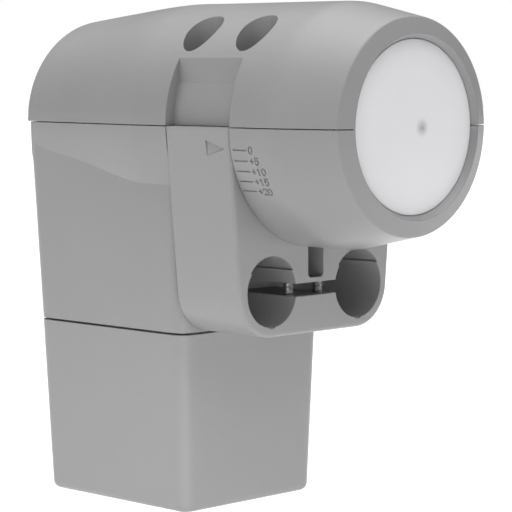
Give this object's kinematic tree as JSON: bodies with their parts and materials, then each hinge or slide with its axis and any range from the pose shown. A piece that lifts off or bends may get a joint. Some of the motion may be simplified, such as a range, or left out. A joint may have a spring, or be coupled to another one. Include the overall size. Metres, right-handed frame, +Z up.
{
  "type": "satellite feed unit with twin-tube clamp",
  "caption": "Grey satellite receiving head: round feed barrel with a white radome, twin-tube clamp with a skew scale, and a slide-down connector cover.",
  "frame": {"origin": "midway between the two tube seats' axes, in the plane of the clamp bracket's front face", "axes": "-Y towards the front (the way the feed looks and the tubes leave), +Z up from the tube seats to the barrel, X across the two tubes"},
  "size_m": [0.078, 0.1479, 0.1651],
  "materials": {
    "grey_asa": "moulded mid-grey weatherproof ASA, fine satin texture",
    "grey_asa_bracket": "moulded mid-grey weatherproof ASA, satin",
    "grey_asa_inner": "moulded grey plastic, inside parts",
    "white_radome": "moulded white polypropylene, soft satin",
    "black_rubber": "black EPDM",
    "cast_aluminium": "die-cast aluminium, as cast",
    "drawn_aluminium": "drawn aluminium tube",
    "cast_zinc": "die-cast housing, as cast",
    "zinc_steel": "zinc-plated steel",
    "circuit_laminate": "green glass-fibre laminate with solder mask",
    "black_epoxy": "moulded black epoxy",
    "tinned_steel": "tinned sheet steel",
    "gold_brass": "gold-flashed brass",
    "white_insulator": "white PTFE",
    "nickel_brass": "nickel-plated brass"
  },
  "bodies": {
    "clamp_bracket": {"clamp_bracket": "grey_asa_bracket"},
    "housing": {"upper_shell": "grey_asa", "lower_shell": "grey_asa", "shell_screws": "zinc_steel", "radome_cap": "white_radome", "cap_seal": "black_rubber", "feed_horn": "cast_aluminium", "waveguide": "drawn_aluminium", "horizontal_probe": "gold_brass", "vertical_probe": "gold_brass", "lnb_casting": "cast_zinc", "casting_gasket": "black_rubber", "casting_lid": "cast_zinc", "casting_screws": "zinc_steel", "circuit_board": "circuit_laminate", "board_screws": "zinc_steel", "board_chips": "black_epoxy", "shield_can": "tinned_steel", "f_connector_left_front": "nickel_brass", "f_connector_left_rear": "nickel_brass", "f_connector_right_front": "nickel_brass", "f_connector_right_rear": "nickel_brass", "connector_insulators": "white_insulator", "connector_contacts": "gold_brass", "connector_nuts": "nickel_brass", "connector_seals": "black_rubber", "connector_plate": "grey_asa_inner", "plate_screws": "zinc_steel"},
    "connector_cover": {"connector_cover": "grey_asa"},
    "clamp_washer_left": {"clamp_washer_left": "zinc_steel"},
    "clamp_washer_right": {"clamp_washer_right": "zinc_steel"},
    "clamp_screw_left": {"clamp_screw_left": "zinc_steel"},
    "clamp_screw_right": {"clamp_screw_right": "zinc_steel"}
  },
  "joints": [
    {"name": "skew_turn", "type": "hinge", "parent": "clamp_bracket", "child": "housing", "pos_m": [0, 0.01405, 0.0524], "axis": [0, 1, 0], "range_deg": [-20, 20]},
    {"name": "cover_slide", "type": "slide", "parent": "housing", "child": "connector_cover", "axis": [0, 0, -1], "range_m": [0, 0.045]},
    {"name": "clamp_travel_left", "type": "slide", "parent": "clamp_bracket", "child": "clamp_washer_left", "axis": [0, 0, -1], "range_m": [0, 0.003]},
    {"name": "clamp_turn_left", "type": "hinge", "parent": "clamp_washer_left", "child": "clamp_screw_left", "pos_m": [-0.0067, 0.0058, -0.0093], "axis": [0, 0, -1], "range_deg": [0, 721]},
    {"name": "clamp_travel_right", "type": "slide", "parent": "clamp_bracket", "child": "clamp_washer_right", "axis": [0, 0, -1], "range_m": [0, 0.003]},
    {"name": "clamp_turn_right", "type": "hinge", "parent": "clamp_washer_right", "child": "clamp_screw_right", "pos_m": [0.0067, 0.0058, -0.0093], "axis": [0, 0, -1], "range_deg": [0, 721]}
  ],
  "couplings": [
    {"joint": "clamp_turn_left", "follows": "clamp_travel_left", "rad_per_m": 4188.8},
    {"joint": "clamp_turn_right", "follows": "clamp_travel_right", "rad_per_m": 4188.8}
  ]
}
